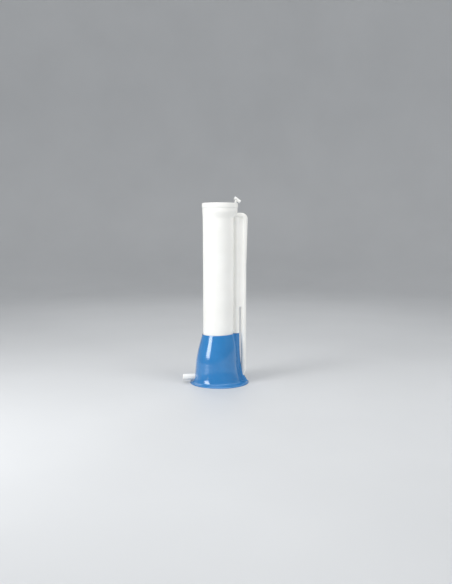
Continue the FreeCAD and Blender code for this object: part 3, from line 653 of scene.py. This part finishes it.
def foot_moulding():
    """Thin blue skirt: a turned-in top edge, the inside, a bevelled lip and the outside."""
    top = FOOT_LEVELS[-1][0]
    turned_in = [(1.8, 1.2), (2.6, 0.0)]
    rings = [foot_ring(top - below, SKIRT_WALL + inset) for below, inset in turned_in]
    heights = [188, 175, 163, 150, 140, 128, 116, 106, 96, 85, 75]
    heights += [66, 57, 48, 42, 36, 30, 26, 22, 19, 16, 13]
    rings += [foot_ring(height, SKIRT_WALL) for height in heights]
    # Each row of the lip and of the top edge: a level, how far in, and the height it's drawn at.
    lip = [
        (9.5, SKIRT_WALL, 9.5),
        (7.5, SKIRT_WALL, 5.5),
        (6.0, SKIRT_WALL, 3.0),
        (4.6, SKIRT_WALL, 1.5),
        (0.0, 3.4, 0.3),
        (0.0, 1.4, 0.0),
        (0.0, 0.35, 0.3),
    ]
    rings += [foot_ring(height, inset, drawn) for height, inset, drawn in lip]
    bevel = [(0.0, 0.9), (0.2, 1.4), (0.7, 2.0), (2.4, 3.8), (3.1, 4.3), (4.2, 4.6)]
    rings += [foot_ring(0.0, inset, drawn, lobe_share=0.3) for inset, drawn in bevel]
    flare = [4.9, 5.25, 5.6, 6.0, 6.4, 7.8, 9.5, 11.2]
    rings += [foot_ring(height, 0.0) for height in flare + heights[::-1]]
    top_edge = [
        (194, 0.0, 194),
        (top - 1.0, 0.0, top - 1.0),
        (top, 0.25, top - 0.3),
        (top, 0.9, top),
        (top, 3.4, top),
    ]
    rings += [foot_ring(height, inset, drawn) for height, inset, drawn in top_edge]
    item = ring_mesh("foot_moulding", rings, closed=True)
    way = on_inlet_axis("inlet_way", FOOT_HOLE_RADIUS, FOOT_HOLE_START, FOOT_HOLE_END)
    return combine(item, "DIFFERENCE", way)


finish_piece(foot_moulding(), BLUE, "rinser", "foot_skirt", sharp_angle=35)

spigot = lathe(
    "inlet_moulding",
    [
        (SHANK_BORE, SHANK_END, 0.4),
        (SHANK_RADIUS, SHANK_END, 0.6),
        (SHANK_RADIUS, COLLAR_START, 0),
        (COLLAR_RADIUS, COLLAR_START, 0.6),
        (COLLAR_RADIUS, COLLAR_END, 1.0),
        (STEM_RADIUS, COLLAR_END, 0.4),
        (STEM_RADIUS, STEM_END, 0.4),
        (TAIL_RADIUS, TAIL_START, 0.4),
        (TAIL_RADIUS, TIP_START, 0.6),
        (TIP_RADIUS, TIP_END, 1.1),
        (TAIL_BORE, TIP_END, 0.8),
        (TAIL_BORE, TAIL_BORE_START, 1.0),
        (SHANK_BORE, SHANK_BORE_END, 1.0),
    ],
    segments=128,
    place=inlet_place(),
)
finish_piece(spigot, NYLON, "rinser", "inlet_spigot")


# ---------------------------------------------------------------- basket parts that show


def rod_lean():
    """The direction of the rod above its bend."""
    lean = math.radians(ROD_LEAN)
    return Vector((math.sin(lean), 0, math.cos(lean)))


def hook_joint():
    """The point where the rod meets the hook."""
    return Vector((ROD_X, 0, ROD_BEND_Z)) + rod_lean() * ROD_LEAN_LENGTH


def swept_rod():
    """Lifting rod as one bent bar, with a chamfered lower end."""
    lean = rod_lean()
    knee = Vector((ROD_X, 0, ROD_BEND_Z))
    below, above = knee - Vector((0, 0, ROD_BEND_REACH)), knee + lean * ROD_BEND_REACH
    heights = (ROD_BOTTOM, ROD_BOTTOM + ROD_CHAMFER, *ROD_RING_HEIGHTS)
    path = [Vector((ROD_X, 0, height)) for height in heights]
    for step in range(ROD_BEND_STEPS + 1):
        share = step / ROD_BEND_STEPS
        path.append(below.lerp(knee, share).lerp(knee.lerp(above, share), share))
    path += [hook_joint() - lean * ROD_TOP_RING, hook_joint() - lean * ROD_TOP_GAP]
    turns = [2 * math.pi * step / ROD_SEGMENTS for step in range(ROD_SEGMENTS)]
    rings = [[path[0]] * ROD_SEGMENTS]
    for number, point in enumerate(path):
        before, after = path[max(0, number - 1)], path[min(len(path) - 1, number + 1)]
        along = (after - before).normalized()
        side = Vector((along.z, 0, -along.x))
        radius = ROD_RADIUS - ROD_CHAMFER if number == 0 else ROD_RADIUS
        spokes = [side * math.cos(turn) + Vector((0, math.sin(turn), 0)) for turn in turns]
        rings.append([point + spoke * radius for spoke in spokes])
    rings.append([path[-1]] * ROD_SEGMENTS)
    return ring_mesh("rod_bar", rings)


finish_piece(swept_rod(), NYLON, "basket", "lifting_rod")

rod_joint = hook_joint()
tilt = math.radians(HOOK_TILT)
hook_direction = Vector((math.cos(tilt), 0, -math.sin(tilt)))
hook_start = rod_joint - hook_direction * HOOK_LENGTH * HOOK_SHARE
hook_aim = hook_direction.to_track_quat("Z", "Y").to_matrix().to_4x4()
pin_reach = Vector((0, PIN_HOLE_REACH, 0))
hook = lathe(
    "hook_bar",
    [
        (0.0, HOOK_DISH_DEPTH, 0),
        (HOOK_DISH_RADIUS, HOOK_DISH_DEPTH, 0.6),
        (HOOK_LIP_RADIUS, 0.0, 0.5),
        (HOOK_RADIUS, 0.0, 0.9),
        (HOOK_RADIUS, HOOK_LENGTH, 0.9),
        (HOOK_LIP_RADIUS, HOOK_LENGTH, 0.5),
        (HOOK_DISH_RADIUS, HOOK_LENGTH - HOOK_DISH_DEPTH, 0.6),
        (0.0, HOOK_LENGTH - HOOK_DISH_DEPTH, 0),
    ],
    closed=False,
    place=Matrix.Translation(hook_start * MM) @ hook_aim,
)
pin_hole = bar("pin_hole", PIN_HOLE_RADIUS, rod_joint - pin_reach, rod_joint + pin_reach)
combine(hook, "DIFFERENCE", pin_hole)
finish_piece(hook, NYLON, "basket", "hook_grip")

hoop = lathe(
    "hoop_moulding",
    [
        (SLEEVE_RADIUS, HOOP_BOTTOM, 0.3),
        (HOOP_RADIUS, HOOP_BOTTOM, 0.9),
        (HOOP_RADIUS, HOOP_TOP, 1.4),
        (HOOP_INNER_RADIUS, HOOP_TOP, 1.4),
        (HOOP_INNER_RADIUS, SLEEVE_TOP, 0.3),
        (SLEEVE_RADIUS, SLEEVE_TOP, 0),
    ],
    segments=192,
)
finish_piece(hoop, NATURAL, "basket", "basket_hoop")


# ---------------------------------------------------------------- room, light and camera


def cyclorama():
    """Pale floor that curves up into a wall all round, far from the object."""
    corners = [(0.0, 0.0, 0), (ROOM_RADIUS, 0.0, ROOM_ROUND), (ROOM_RADIUS, ROOM_HEIGHT, 0)]
    outline = rounded(corners, steps=24)
    item = ring_mesh("cyclorama", [circle(point.x, point.y, 0, 128) for point in outline])
    material, tree, shader = new_material("studio_floor")
    drift = noise(tree, object_position(tree), scale=1.5, detail=3.0)
    colour = ramp(tree, drift, [(0.3, (0.60, 0.612, 0.625)), (0.7, (0.63, 0.642, 0.655))])
    link(tree, colour, "Color", shader, "Base Color")
    shader.inputs["Roughness"].default_value = 0.5
    item.data.materials.append(material)
    item.data.shade_smooth()


def area_light(name, location, target, width, height, power, mirrored=True):
    """A soft box that faces a point; one that isn't mirrored only brightens dull surfaces."""
    data = bpy.data.lights.new(name, "AREA")
    data.shape = "RECTANGLE"
    data.size = width
    data.size_y = height
    data.energy = power
    lamp = bpy.data.objects.new(name, data)
    lamp.location = location
    direction = Vector(target) - Vector(location)
    lamp.rotation_euler = direction.to_track_quat("-Z", "Y").to_euler()
    lamp.visible_camera = False
    lamp.visible_glossy = mirrored
    bpy.context.collection.objects.link(lamp)


cyclorama()
area_light("left_softbox", (-1.62, -1.2, 0.98), (0, 0, 0.45), width=0.85, height=1.5, power=30)
area_light("right_fill", (2.35, -1.7, 1.4), (0, 0, 0.4), width=2.2, height=1.8, power=36, mirrored=False)
area_light("top_softbox", (0, -0.65, 2.4), (0, 0, 0.1), width=3.0, height=0.8, power=15)
area_light("back_softbox", (0, 2.7, 2.6), (0, 0, 0.2), width=3.0, height=1.0, power=20)

world = bpy.data.worlds.new("studio")
bpy.context.scene.world = world
world.use_nodes = True
background = world.node_tree.nodes["Background"]
background.inputs["Color"].default_value = (0.88, 0.89, 0.90, 1)
background.inputs["Strength"].default_value = 0.72

camera_data = bpy.data.cameras.new("camera")
camera_data.sensor_width = SENSOR
camera_data.lens = LENS
camera = bpy.data.objects.new("camera", camera_data)
camera.location = (EYE_SIDE, -EYE_DISTANCE, EYE_HEIGHT)
camera.rotation_euler = (math.radians(90 - PITCH_DOWN), 0, 0)
bpy.context.collection.objects.link(camera)
bpy.context.scene.camera = camera
bpy.context.scene.view_settings.view_transform = "Standard"
